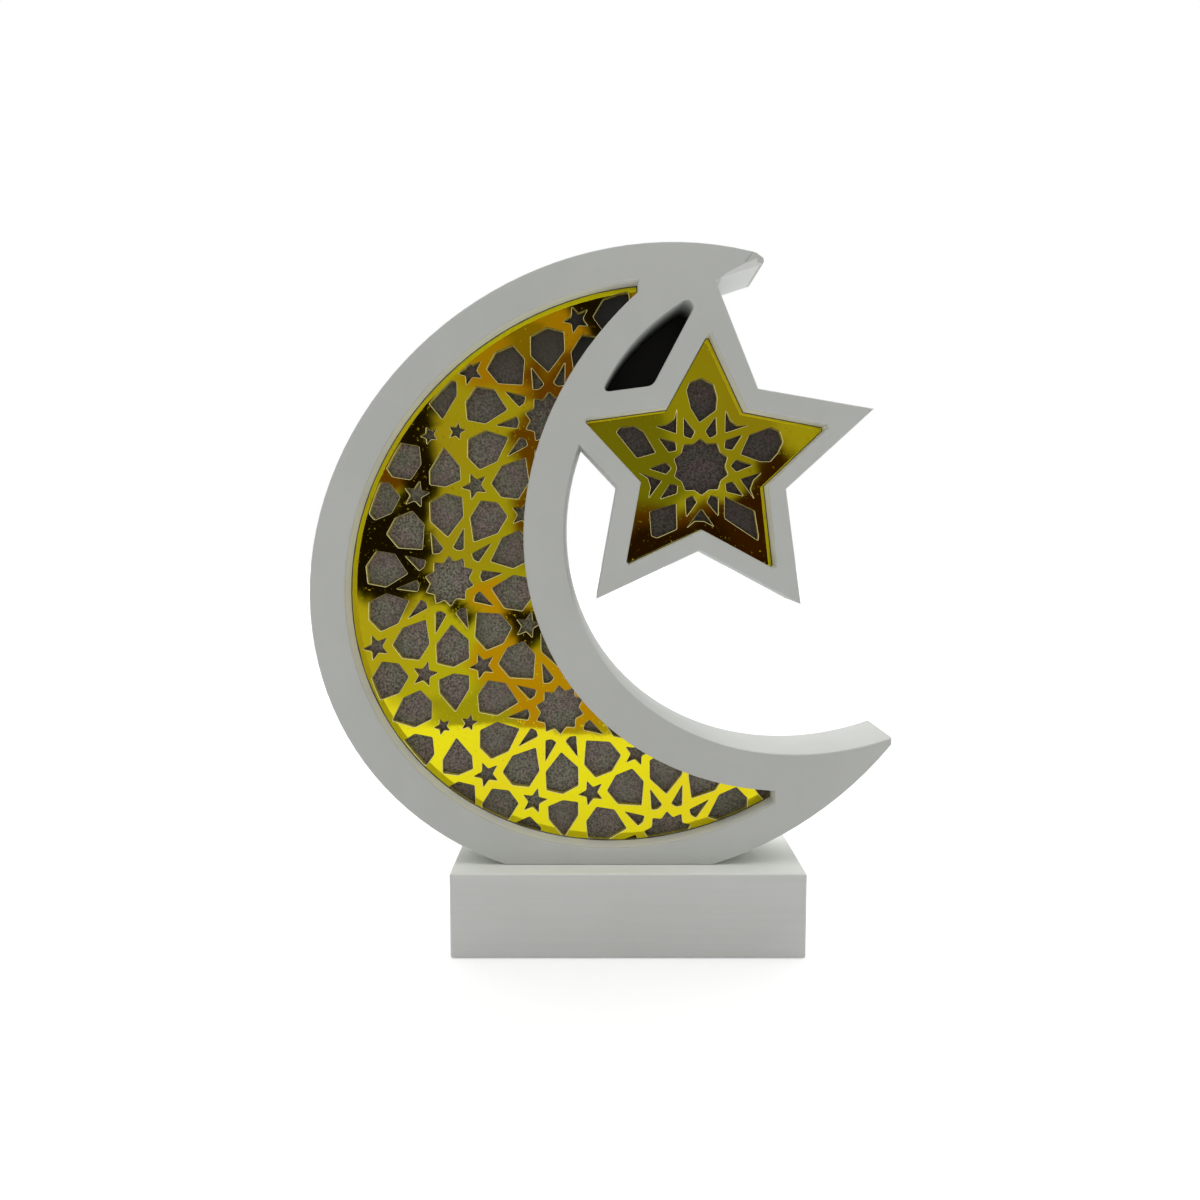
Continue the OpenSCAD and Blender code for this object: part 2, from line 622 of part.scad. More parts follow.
module cell_springs() color("silver") for (i = [1:cells]) {
    side = i % 2 == 0 ? -1 : 1;
    translate([base_x - side * (box_in_l / 2 - plate_t), cell_y(i), cell_z])
        rotate([0, side * 90, 0]) spring();
}
// Contact plates: one at each end is single, the other joins two cells
module cell_plates() color("silver") for (s = [-1, 1]) translate([base_x
    + s * (box_in_l - plate_t) / 2, 0, cell_z]) {
    translate([0, s * cell_y(cells), 0]) cube([plate_t, plate_w, plate_w], center = true);
    translate([0, -s * (cell_d + cell_gap) / 2, 0])
        cube([plate_t, cell_d + cell_gap + plate_w, plate_w], center = true);
    // A tab up to the lead's end
    translate([-plate_t / 2, (s > 0 ? red_y : -link_y - lead_d / 2) - lead_d / 2, 0])
        cube([plate_t, lead_d, box_in_top - cell_z]);
}

door_w = box_w - 2 * box_wall - 2 * box_gap;
door_end = base_x + box_l / 2 - box_gap;
tab_w = 1.6;
tab_t = 0.9;
tab_h = 3;
rib_h = 0.4;
rib_w = 1;
ribs = 4;
module battery_door() color("dimgray") {
    translate([hinge_x, -door_w / 2, door_sink]) cube([door_end - hinge_x, door_w, door_t]);
    translate([hinge_x, 0, hinge_z]) rotate([90, 0, 0]) {
        cylinder(h = door_w, d = door_t, center = true);
        cylinder(h = door_w + 2 * box_gap + 2 * box_wall, d = hinge_pin_d, center = true);
    }
    for (s = [-1, 1]) translate([base_x + box_in_l / 2 - plate_t - box_gap - tab_t / 2,
        s * (cell_d + cell_gap) / 2, door_sink + door_t + (tab_h - fit_gap) / 2])
        cube([tab_t, tab_w, tab_h + fit_gap], center = true);
    // Grip ribs by the free end
    for (i = [1:ribs]) translate([door_end - 2 * rib_w * (i + 1), -door_w / 4, door_sink - rib_h])
        cube([rib_w, door_w / 2, rib_h + fit_gap]);
}

module switch_frame() color("silver") difference() {
    translate([switch_mid_x, switch_y + switch_frame_t / 2, switch_z])
        cube([switch_l, switch_frame_t, switch_h], center = true);
    translate([switch_mid_x, switch_y, switch_z]) cube(
        [slider_w + switch_travel + 2 * fit_gap, switch_sink, slider_h + 2 * fit_gap], center = true);
    for (s = [-1, 1]) translate([switch_mid_x + s * switch_screw_gap / 2, switch_y + cut, switch_z])
        rotate([90, 0, 0]) cylinder(h = 2 * cut, d = switch_screw_d + fit_gap, center = true);
}
module switch_body() color("saddlebrown") {
    difference() {
        translate([switch_mid_x, switch_y - switch_body_d / 2, switch_z])
            cube([switch_body_l, switch_body_d, switch_h], center = true);
        translate([switch_mid_x, switch_y, switch_z]) cube(
            [slider_w + 2 * slider_rim + switch_travel + 2 * fit_gap, 2 * (slider_in + fit_gap),
                slider_h + 2 * slider_rim + 2 * fit_gap], center = true);
    }
    for (s = [-1, 0, 1]) translate([switch_mid_x + s * switch_pin_gap, switch_y - switch_body_d,
        switch_z]) rotate([90, 0, 0]) cylinder(h = switch_pin_l, d = switch_pin_d);
}
slider_x = switch_mid_x - switch_travel / 2;
module switch_slider() color("black") difference() {
    union() {
        translate([slider_x - slider_w / 2, switch_y - slider_in, switch_z - slider_h / 2])
            cube([slider_w, slider_in + switch_frame_t + slider_out, slider_h]);
        translate([slider_x, switch_y - fit_gap - slider_in / 2, switch_z]) cube([slider_w
            + 2 * slider_rim, slider_in, slider_h + 2 * slider_rim], center = true);
    }
    for (i = [-1, 0, 1]) translate([slider_x + i * slider_w / 3,
        switch_y + switch_frame_t + slider_out, switch_z])
        cube([slider_w / 6, slider_w / 6, slider_h + cut], center = true);
}
module switch_screws() color("silver") for (s = [-1, 1])
    translate([switch_mid_x + s * switch_screw_gap / 2, switch_y + switch_frame_t, switch_z]) {
    difference() {
        rotate([-90, 0, 0]) cylinder(h = switch_head_h, d = switch_head_d);
        for (a = [0, 90]) translate([0, switch_head_h, 0]) rotate([0, a, 0]) cube(
            [switch_head_d * slot_l_share, switch_head_h, switch_head_d * slot_w_share],
            center = true);
    }
    rotate([90, 0, 0]) cylinder(h = switch_screw_l, d = switch_screw_d);
}

// Leads run over the box, up through the block and the foot, and to the light strip
module lead_red() color("red") lead([[plus_x, red_y, box_in_top], [plus_x, red_y, groove_z],
    [lead_x, red_y, groove_z], [lead_x, red_y, lead_top_z],
    [lead_x, strip_y + strip_w - lead_d, lead_top_z]], lead_d);
module lead_black() color("dimgray") lead([[switch_mid_x - switch_pin_gap, black_y, groove_z],
    [lead_x, black_y, groove_z], [lead_x, black_y, lead_top_z - lead_gap]], lead_d);
module lead_switch() color("dimgray") lead([[minus_x, -link_y, box_in_top],
    [minus_x, -link_y, groove_z], [minus_x, link_y, groove_z], [switch_mid_x, link_y, groove_z],
    [switch_mid_x, pin_end_y, groove_z]], lead_d);
module lead_star() color("ivory") rod([link_a[0], star_lead_y, link_a[1]],
    [link_b[0], star_lead_y, link_b[1]], lead_d);

moon_star_frame();
crescent_fretwork();
star_fretwork();
crescent_diffuser();
star_diffuser();
crescent_led_strip();
crescent_leds();
star_led_board();
star_leds();
rear_cover();
cover_screws();
base_block();
frame_screws();
battery_box();
battery_cell(1);  // battery_cell_1
battery_cell(2);  // battery_cell_2
battery_cell(3);  // battery_cell_3
cell_springs();
cell_plates();
battery_door();
switch_frame();
switch_body();
switch_slider();
switch_screws();
lead_red();
lead_black();
lead_switch();
lead_star();
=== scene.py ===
import json

import bmesh
import bpy
import numpy as np
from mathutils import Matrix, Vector
from mathutils.geometry import tessellate_polygon

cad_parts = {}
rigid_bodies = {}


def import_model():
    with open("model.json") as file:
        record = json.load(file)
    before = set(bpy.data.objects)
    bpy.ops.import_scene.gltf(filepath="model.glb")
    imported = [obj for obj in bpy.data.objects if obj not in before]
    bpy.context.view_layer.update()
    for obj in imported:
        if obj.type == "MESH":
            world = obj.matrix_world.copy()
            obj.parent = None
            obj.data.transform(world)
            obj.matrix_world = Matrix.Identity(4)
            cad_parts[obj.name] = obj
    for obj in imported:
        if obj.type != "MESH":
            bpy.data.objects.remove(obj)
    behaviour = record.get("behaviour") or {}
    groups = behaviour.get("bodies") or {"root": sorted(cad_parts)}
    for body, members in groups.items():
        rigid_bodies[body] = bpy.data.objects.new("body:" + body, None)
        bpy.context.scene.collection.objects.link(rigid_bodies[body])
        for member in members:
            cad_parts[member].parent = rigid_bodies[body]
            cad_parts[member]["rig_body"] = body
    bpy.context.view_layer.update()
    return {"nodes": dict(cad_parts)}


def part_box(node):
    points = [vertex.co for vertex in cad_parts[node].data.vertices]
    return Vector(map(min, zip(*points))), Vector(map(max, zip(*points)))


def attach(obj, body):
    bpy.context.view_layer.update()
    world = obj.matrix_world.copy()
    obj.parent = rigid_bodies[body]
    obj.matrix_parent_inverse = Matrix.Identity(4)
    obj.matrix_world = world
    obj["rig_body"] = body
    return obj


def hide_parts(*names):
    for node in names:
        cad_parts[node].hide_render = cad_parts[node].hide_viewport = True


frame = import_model()
scene = bpy.context.scene


# Camera. It stands a little above the middle of the ornament, close in front of it, and looks
# slightly down, so that the block's top and the bite's inner edge show. The lens's length over
# the frame's width is LENS_SHARE, both in pixels of the photograph.
EYE = np.array([-0.85, -313.4, 146.7]) / 1000
LOOK_DOWN = np.radians(4.76)
SENSOR = 36
LENS_SHARE = 888 / 1200

camera = bpy.data.objects.new("camera", bpy.data.cameras.new("camera"))
camera.data.sensor_width = SENSOR
camera.data.lens = SENSOR * LENS_SHARE
camera.data.clip_start = 0.01
camera.location = EYE
camera.rotation_euler = (np.pi / 2 - LOOK_DOWN, 0, 0)
scene.collection.objects.link(camera)
scene.camera = camera


# Board and block. Both are sawn from wood board and sprayed with satin pale grey paint, which
# rounds every edge a little. The windows' lips and the block are given lighter paint than the
# board's front, and the block's top lighter still: this is painted light. The small hole by the
# star darkens inward: painted shade.
EDGE_ROUND = 0.0007
ROUND_STEPS = 3
SHARP = np.radians(28)
FLAT = np.radians(0.3)
JOINED_WITHIN = 1e-6
LEVEL_WITHIN = 2e-6
PAINT = (0.6, 0.612, 0.578, 1)
PAINT_SHADE = (0.535, 0.548, 0.51, 1)
# Lighter paint for the windows' lips and the horn's filler: painted light on walls that would stand
# in shade.
LIGHTENED_PAINT = (0.797, 0.804, 0.788, 1)
LIGHTENED_PAINT_SHADE = (0.78, 0.795, 0.76, 1)
# The block's paint is lighter than the board's, though both are the same paint: painted light. Its
# top turns lighter still over its rounded edge: painted light on the face that looks up.
LIGHTENED_BLOCK_PAINT = (0.75, 0.762, 0.735, 1)
LIGHTENED_BLOCK_SHADE = (0.69, 0.702, 0.67, 1)
BLOCK_TOP_PAINTED_LIGHT = (0.95, 0.97, 0.92, 1)
TOP_OVER = 0.0001
BOARD_GRAIN = (60, 60, 12)
BOARD_GRAIN_SHARE = 0.15
BLOCK_GRAIN = (14, 60, 420)
BLOCK_GRAIN_SHARE = 0.3
PEEL_DEPTH = 0.00012

# The small hole: the middle point of its long bent side stands between that side's two ends, and
# so do those of the notch and the corner. The round end has a middle, a radius and a first and
# last angle in degrees. Inside, the paint darkens on the way from the front to the cover: painted
# shade.
HOLE_SIDE = np.array([(0.9, 193.4), (9.3, 210.1), (26.5, 220.6)]) / 1000
HOLE_END = np.array((27.6, 218.65)) / 1000
HOLE_END_R = 0.00225
HOLE_END_TURN = (119, -28)
HOLE_NOTCH = np.array([(17.64, 194.97), (16.71, 193.2), (14.73, 192.94)]) / 1000
HOLE_CORNER = np.array([(2.6, 191.36), (0.3, 191.06), (0.9, 193.4)]) / 1000
HOLE_STEPS = 12
HOLE_BACK = 0.01115
HOLE_SHADE_DEPTHS = (-0.0135, 0.0125)
HOLE_PAINTED_SHADE = (0.012, 0.012, 0.01, 1)


def set_inputs(tree, node, **inputs):
    """Gives a node's inputs their values, or links them to sockets. An input goes by its name,
    with _ for each space, or by its number: i0, i1 and so on."""
    for name, value in inputs.items():
        numbered = name[0] == "i" and name[1:].isdigit()
        socket = node.inputs[int(name[1:]) if numbered else name.replace("_", " ")]
        if isinstance(value, bpy.types.NodeSocket):
            tree.links.new(value, socket)
        else:
            socket.default_value = value


def put(tree, kind, settings=None, **inputs):
    """Adds a shader node. settings are its properties."""
    node = tree.nodes.new("ShaderNode" + kind)
    for name, value in (settings or {}).items():
        setattr(node, name, value)
    set_inputs(tree, node, **inputs)
    return node


def use_group(tree, group, **inputs):
    """A group placed in a material with its own values."""
    return put(tree, "Group", {"node_tree": group}, **inputs)


def maths(tree, operation, a, b=0.0, c=0.0, clamp=False):
    """One Math node's result."""
    settings = {"operation": operation, "use_clamp": clamp}
    return put(tree, "Math", settings, i0=a, i1=b, i2=c).outputs[0]


def blend(tree, share, a, b, mode="MIX"):
    """Two colours mixed by a share."""
    settings = {"data_type": "RGBA", "blend_type": mode}
    return put(tree, "Mix", settings, i0=share, i6=a, i7=b).outputs[2]


def ramp(tree, value, low, high, to_low=0.0, to_high=1.0):
    """A value carried smoothly from one range to another, held at its ends."""
    return put(tree, "MapRange", {"interpolation_type": "SMOOTHSTEP"}, Value=value, From_Min=low,
               From_Max=high, To_Min=to_low, To_Max=to_high).outputs[0]


def noise(tree, place, scale, detail, roughness=0.5):
    """Soft noise from 0 to 1, with scale spots to the metre."""
    return put(tree, "TexNoise", Vector=place, Scale=scale, Detail=detail,
               Roughness=roughness).outputs[0]


def bumped(tree, shader, height, depth, strength=0.5):
    """Puts a height on a shader as a bump of that depth, in metres."""
    bump = put(tree, "Bump", Height=height, Distance=depth, Strength=strength)
    set_inputs(tree, shader, Normal=bump.outputs["Normal"])


def new_group(name, inputs, outputs):
    """An empty node group with the named sockets, and its two end nodes."""
    tree = bpy.data.node_groups.new(name, "ShaderNodeTree")
    for label, kind, value in inputs:
        socket = tree.interface.new_socket(label, in_out="INPUT", socket_type="NodeSocket" + kind)
        socket.default_value = value
    for label, kind in outputs:
        tree.interface.new_socket(label, in_out="OUTPUT", socket_type="NodeSocket" + kind)
    return tree, tree.nodes.new("NodeGroupInput"), tree.nodes.new("NodeGroupOutput")


def material(name):
    """A new material: its node tree, its Principled shader and its object coordinates."""
    made = bpy.data.materials.new(name)
    made.use_nodes = True
    tree = made.node_tree
    place = put(tree, "TexCoord").outputs["Object"]
    return made, tree, tree.nodes["Principled BSDF"], place


# Sprayed paint: a faint orange-peel skin, slow patches of a darker tone and a grain that runs
# along the board.
sprayed, start, end = new_group(
    "sprayed_skin",
    [("Place", "Vector", (0, 0, 0)), ("Colour", "Color", PAINT), ("Shade", "Color", PAINT_SHADE),
     ("Grain", "Vector", (1, 1, 1)), ("Grain Share", "Float", 0.3), ("Roughness", "Float", 0.5)],
    [("Colour", "Color"), ("Roughness", "Float"), ("Height", "Float")])
given = start.outputs
stretch = put(sprayed, "VectorMath", {"operation": "MULTIPLY"}, i0=given["Place"],
              i1=given["Grain"]).outputs[0]
patches = ramp(sprayed, noise(sprayed, given["Place"], 28, 3, 0.55), 0.35, 0.7)
grain = ramp(sprayed, noise(sprayed, stretch, 1, 4, 0.6), 0.35, 0.7)
grain_part = maths(sprayed, "MULTIPLY", grain, given["Grain Share"])
tone = maths(sprayed, "ADD", maths(sprayed, "MULTIPLY", patches, 0.4), grain_part, clamp=True)
peel = noise(sprayed, given["Place"], 1500, 2)
grain_height = maths(sprayed, "MULTIPLY", grain_part, 0.5)
set_inputs(sprayed, end, Colour=blend(sprayed, tone, given["Colour"], given["Shade"]),
           Roughness=maths(sprayed, "MULTIPLY_ADD", tone, 0.12, given["Roughness"]),
           Height=maths(sprayed, "MULTIPLY_ADD", peel, 0.5, grain_height))


def paint_finish(name, colour, shade, grain_scale, grain_share, roughness=0.5, fade=None):
    """Sprayed paint. fade is an axis, the two places on it between which the paint turns into
    another colour, and that colour."""
    made, tree, shader, place = material(name)
    skin = use_group(tree, sprayed, Place=place, Colour=colour, Shade=shade, Grain=grain_scale,
                     Grain_Share=grain_share, Roughness=roughness).outputs
    tone = skin["Colour"]
    if fade:
        axis, first, last, other = fade
        along = put(tree, "SeparateXYZ", Vector=place).outputs[axis]
        tone = blend(tree, ramp(tree, along, first, last), tone, other)
    set_inputs(tree, shader, Base_Color=tone, Roughness=skin["Roughness"], Specular_IOR_Level=0.35)
    bumped(tree, shader, skin["Height"], PEEL_DEPTH, 0.35)
    return made


def merged(node):
    """A CAD node's points, in metres, with its doubled corners joined, and its triangles."""
    mesh = frame["nodes"][node].data
    mesh.calc_loop_triangles()
    points = np.empty(len(mesh.vertices) * 3)
    mesh.vertices.foreach_get("co", points)
    faces = np.empty(len(mesh.loop_triangles) * 3, np.int64)
    mesh.loop_triangles.foreach_get("vertices", faces)
    places, same = np.unique(points.reshape(-1, 3).round(7), axis=0, return_inverse=True)
    faces = same.reshape(-1)[faces].reshape(-1, 3)
    whole = (faces != np.roll(faces, 1, axis=1)).all(axis=1)
    return places, faces[whole]


def face_loops(points, faces, level):
    """The closed edges of the flat face at y = level, as lists of point numbers in the order in
    which the face's triangles run round, and which triangles belong to that face. An edge of the
    face is one that no second triangle runs along the other way."""
    flat = (np.abs(points[faces][:, :, 1] - level) < LEVEL_WITHIN).all(axis=1)
    ends = {(a, b) for f in faces[flat].tolist() for a, b in zip(f, f[1:] + f[:1])}
    following = {a: b for a, b in ends if (b, a) not in ends}
    loops = []
    while following:
        loop = [next(iter(following))]
        while loop[-1] in following:
            loop.append(following.pop(loop[-1]))
        loops.append(loop[:-1])
    return loops, flat


def by_size(points, loops):
    """Loops by the area that each encloses, sum(x1 * z2 - x2 * z1) / 2, the largest first."""
    def area(loop):
        x, z = points[loop][:, 0], points[loop][:, 2]
        return abs((x * np.roll(z, -1) - np.roll(x, -1) * z).sum())
    return sorted(loops, key=area, reverse=True)


def inset(loop, width):
    """A loop of points [x, z] moved by width towards its left, where the face is:
    p + width * (n1 + n2) / (1 + n1 . n2), with n1 and n2 normal to the two edges at p."""
    step = np.roll(loop, -1, axis=0) - loop
    step /= np.linalg.norm(step, axis=1, keepdims=True)
    normal = np.c_[-step[:, 1], step[:, 0]]
    before = np.roll(normal, 1, axis=0)
    return loop + width * (before + normal) / (1 + (before * normal).sum(axis=1, keepdims=True))


def bent(a, middle, b, steps):
    """Points on the curve (1-t)^2 a + 2t(1-t) middle + t^2 b, with t from 0 to 1."""
    t = np.linspace(0, 1, steps + 1)[:, None]
    return (1 - t) ** 2 * a + 2 * t * (1 - t) * middle + t * t * b


def at_depth(loop, y):
    """A loop of points [x, z] as points [x, y, z]."""
    return np.c_[loop[:, 0], np.full(len(loop), y), loop[:, 1]]


def band(a, b):
    """Quads that join ring a to ring b, both lists of point numbers: a1, a2, b2, b1."""
    return np.c_[a, np.roll(a, -1), np.roll(b, -1), b].tolist()


def fill(rings):
    """Triangles that fill the face between closed rings, each given as its points [x, z] and
    their numbers."""
    numbers = np.concatenate([ring for _, ring in rings])
    found = tessellate_polygon([[Vector((x, z, 0)) for x, z in loop] for loop, _ in rings])
    return numbers[np.array(found)].tolist()


def new_piece(name, points, faces, finishes=()):
    """A new object, flat-faced, with its place in its mesh."""
    mesh = bpy.data.meshes.new(name)
    mesh.from_pydata(points.tolist(), [], faces)
    for finish in finishes:
        mesh.materials.append(finish)
    piece = bpy.data.objects.new(name, mesh)
    scene.collection.objects.link(piece)
    return piece


def smooth_piece(name, node, points, faces, finishes, which):
    """A new object in a CAD node's place, smooth but for its sharp edges. which says each
    face's finish by number."""
    piece = new_piece(name, points, faces, finishes)
    mesh = piece.data
    mesh.polygons.foreach_set("material_index", np.asarray(which, np.int32))
    mesh.polygons.foreach_set("use_smooth", np.ones(len(mesh.polygons), bool))
    mesh.set_sharp_from_angle(angle=SHARP)
    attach(piece, frame["nodes"][node]["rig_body"])
    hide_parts(node)
    return piece


def small_hole():
    """The small hole's outline, clockwise from its lower left: the long bent side, the round
    end, at centre + r * [cos u, sin u], a straight side to the eased notch and a short one to
    the eased corner."""
    u = np.radians(np.linspace(*HOLE_END_TURN, HOLE_STEPS + 1))[:, None]
    end = HOLE_END + HOLE_END_R * np.hstack([np.cos(u), np.sin(u)])
    return np.vstack([bent(*HOLE_SIDE, HOLE_STEPS), end[1:], bent(*HOLE_NOTCH, HOLE_STEPS),
                      bent(*HOLE_CORNER, HOLE_STEPS)[:-1]])


def eased_board(node, finishes):
    """The board with its front and rear edges rounded, and its small hole as a pocket. At the
    angle t the rounding's row lies radius * (1 - cos t) in from the outline and
    radius * (1 - sin t) below the face. finishes are the paint, the lighter paint of the two
    windows' lips, which is painted light, and the small hole's, which darkens inward as painted
    shade."""
    points, faces = merged(node)
    low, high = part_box(node)
    outer, *windows, cad_hole = by_size(points, face_loops(points, faces, low.y)[0])
    kept = ~np.isin(faces, cad_hole).any(axis=1)
    lips = np.isin(faces, np.concatenate(windows)).any(axis=1)
    hole = small_hole()
    hole_ring = len(points) + np.arange(len(hole))
    back_ring = hole_ring + len(hole)
    points = np.vstack([points, at_depth(hole, low.y), at_depth(hole, HOLE_BACK)])
    rows, walls = [points], []
    total = len(points)
    for level, side in ((low.y, 1), (high.y, -1)):
        loops, flat = face_loops(points, faces, level)
        kept &= ~flat
        if side == 1:
            loops = [outer, *windows, hole_ring]
        rings = []
        for loop in loops:
            outline = points[loop][:, [0, 2]] * [side, 1]
            below = np.array(loop)
            points[loop, 1] = level + side * EDGE_ROUND
            for t in np.linspace(0, np.pi / 2, ROUND_STEPS + 1)[1:]:
                row = inset(outline, EDGE_ROUND * (1 - np.cos(t)))
                depth = level + side * EDGE_ROUND * (1 - np.sin(t))
                rows.append(at_depth(row * [side, 1], depth))
                above = total + np.arange(len(row))
                total += len(row)
                walls += band(below, above)
                below = above
            rings.append((row, below))
        walls += fill(rings)
    pocket = band(back_ring, hole_ring) + fill([(hole, back_ring)])
    which = lips[kept].astype(int).tolist() + [0] * len(walls) + [2] * len(pocket)
    all_faces = faces[kept].tolist() + walls + pocket
    return smooth_piece("eased_" + node, node, np.vstack(rows), all_faces, finishes, which)


def eased_block(node, finish):
    """The block with rounded edges: its flat parts are made one face each first, and every edge
    that turns by more than SHARP is rounded with the radius EDGE_ROUND."""
    source = frame["nodes"][node]
    mesh = source.data.copy()
    mesh.materials.clear()
    mesh.materials.append(finish)
    work = bmesh.new()
    work.from_mesh(mesh)
    bmesh.ops.remove_doubles(work, verts=work.verts, dist=JOINED_WITHIN)
    bmesh.ops.dissolve_limit(work, angle_limit=FLAT, verts=work.verts, edges=work.edges)
    work.to_mesh(mesh)
    work.free()
    piece = bpy.data.objects.new("eased_" + node, mesh)
    scene.collection.objects.link(piece)
    rounding = piece.modifiers.new("rounded_edges", "BEVEL")
    rounding.width = EDGE_ROUND
    rounding.segments = ROUND_STEPS
    rounding.limit_method = "ANGLE"
    rounding.angle_limit = SHARP
    rounding.use_clamp_overlap = False
    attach(piece, source["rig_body"])
    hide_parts(node)
    return piece


board_low, board_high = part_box("moon_star_frame")
block_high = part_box("base_block")[1].z
board_paint = paint_finish("board_paint", PAINT, PAINT_SHADE, BOARD_GRAIN, BOARD_GRAIN_SHARE)
# The lips' walls get the lighter paint: painted light.
lightened_paint = paint_finish("lightened_paint", LIGHTENED_PAINT, LIGHTENED_PAINT_SHADE, BOARD_GRAIN, BOARD_GRAIN_SHARE)
# The hole's walls darken with depth: painted shade.
hole_painted_shade = paint_finish("hole_painted_shade", PAINT, PAINT_SHADE, BOARD_GRAIN, BOARD_GRAIN_SHARE,
                          fade=(1, *HOLE_SHADE_DEPTHS, HOLE_PAINTED_SHADE))
# The block's paint is lighter than the board's, and its top turns lighter still over the rounded
# edge: painted light.
lightened_block_paint = paint_finish("lightened_block_paint", LIGHTENED_BLOCK_PAINT, LIGHTENED_BLOCK_SHADE, BLOCK_GRAIN, BLOCK_GRAIN_SHARE,
                           fade=(2, block_high - EDGE_ROUND, block_high + TOP_OVER, BLOCK_TOP_PAINTED_LIGHT))
board = eased_board("moon_star_frame", [board_paint, lightened_paint, hole_painted_shade])
block = eased_block("base_block", lightened_block_paint)


# The horn's end. Filler closes the hollow between its round nose and its straight underside, and
# the paint has a short crack where the end was sanded.
NOSE_FILLER = np.array([(51.96, 232.17), (51.9, 233.8), (49.9, 234.2), (40.95, 229.65),
                        (38.5, 227.8)]) / 1000
FILLER_BACK = 0.00001
CRACK = np.array([(46.7, 232.9), (49.3, 236.1), (49.4, 236.3), (46.9, 233.4)]) / 1000
CRACK_PROUD = 0.00003
CRACK_DARK = (0.1, 0.1, 0.09, 1)
CRACK_SHADE = (0.16, 0.16, 0.15, 1)
CRACK_GRAIN_SHARE = 0.3


def bar(name, node, profile, near, far, finish):
    """A straight bar that fills a profile of points [x, z] from y = near to y = far, and rides
    with a CAD node."""
    ring = np.arange(len(profile))
    points = np.vstack([at_depth(profile, near), at_depth(profile, far)])
    ends = [ring[::-1].tolist(), (ring + len(ring)).tolist()]
    piece = new_piece(name, points, band(ring, ring + len(ring)) + ends, [finish])
    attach(piece, frame["nodes"][node]["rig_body"])
    return piece


# The filler has the lighter paint too: painted light, as on the lips.
nose = bar("nose_filler", "moon_star_frame", NOSE_FILLER, board_low.y + FILLER_BACK,
           board_high.y - EDGE_ROUND, lightened_paint)
crack_dark = paint_finish("crack_dark", CRACK_DARK, CRACK_SHADE, BOARD_GRAIN, CRACK_GRAIN_SHARE)
crack = bar("paint_crack", "moon_star_frame", CRACK, board_low.y - CRACK_PROUD,
            board_low.y + CRACK_PROUD, crack_dark)


# Rear cover. A thin panel, painted black, let into the board's rear face and screwed to it. It
# also closes the small hole by the star, which is why that hole is black.
COVER_BLACK = (0.014, 0.014, 0.013, 1)
COVER_SHADE = (0.022, 0.022, 0.02, 1)
COVER_GRAIN_SHARE = 0.3
COVER_ROUGHNESS = 0.62


def dress(names, finish):
    """Puts one finish on carried-over CAD nodes."""
    for name in names:
        mesh = frame["nodes"][name].data
        mesh.materials.clear()
        mesh.materials.append(finish)


dress(["rear_cover"], paint_finish("cover_black", COVER_BLACK, COVER_SHADE, BOARD_GRAIN,
                                   COVER_GRAIN_SHARE, COVER_ROUGHNESS))


# Fretwork. Two sheets of gold mirror acrylic, cut by laser: the front is the mirror, slightly
# wavy because the sheet is thin. The cut leaves a pale, frosted rim round every opening and dull
# gold walls. The rim is given a painted highlight, a glow where it faces up or sideways, and
# painted shade where it faces down. Each sheet is glued in behind its window's lip; a dark line
# at the foot of the lip is painted shadow.
GOLD = (0.90, 0.82, 0.012, 1)
GOLD_WARM = (0.86, 0.66, 0.02, 1)
WAVE_DEPTH = 0.0006
RIM = (0.88, 0.8, 0.36, 1)
RIM_SHADE = (0.7, 0.61, 0.24, 1)
RIM_PAINTED_SHADE = (0.1, 0.075, 0.015, 1)
RIM_PAINTED_GLOW = 0.28
RIM_WIDTH = 0.00016
RIM_DEPTH = 0.00025
CUT_WALL = (0.62, 0.53, 0.06, 1)
CUT_SHADE = (0.48, 0.4, 0.04, 1)
FROST_DEPTH = 0.00005
CORNER_CUT = 0.00055
CORNER_SHARE = 0.3
CORNER_STEPS = 4
# A dark bead at the foot of each window's lip: painted shadow.
PAINTED_SHADOW_LINE = (0.03, 0.03, 0.012, 1)
PAINTED_SHADOW_LINE_SHADE = (0.07, 0.065, 0.02, 1)
SHADOW_LINE_WIDTH = 0.00032
SHADOW_LINE_SHARE = 0.3
SHADOW_LINE_WAVES = (900, 700)
SHADOW_LINE_LIFT = 0.00001
UNLIT = (0, 0, 0, 1)


def gold_mirror():
    """A gold mirror: slow waves and fine ripples in the sheet, warmer patches, a little dust."""
    made, tree, shader, place = material("gold_mirror")
    height = maths(tree, "MULTIPLY_ADD", noise(tree, place, 90, 1), 0.05,
                   noise(tree, place, 17, 1.5, 0.4))
    warm = ramp(tree, noise(tree, place, 12, 2), 0.4, 0.75)
    dust = ramp(tree, noise(tree, place, 900, 2), 0.62, 0.78)
    set_inputs(tree, shader, Base_Color=blend(tree, warm, GOLD, GOLD_WARM), Metallic=1,
               Roughness=maths(tree, "MULTIPLY_ADD", dust, 0.25, 0.04))
    bumped(tree, shader, height, WAVE_DEPTH, 1.0)
    return made


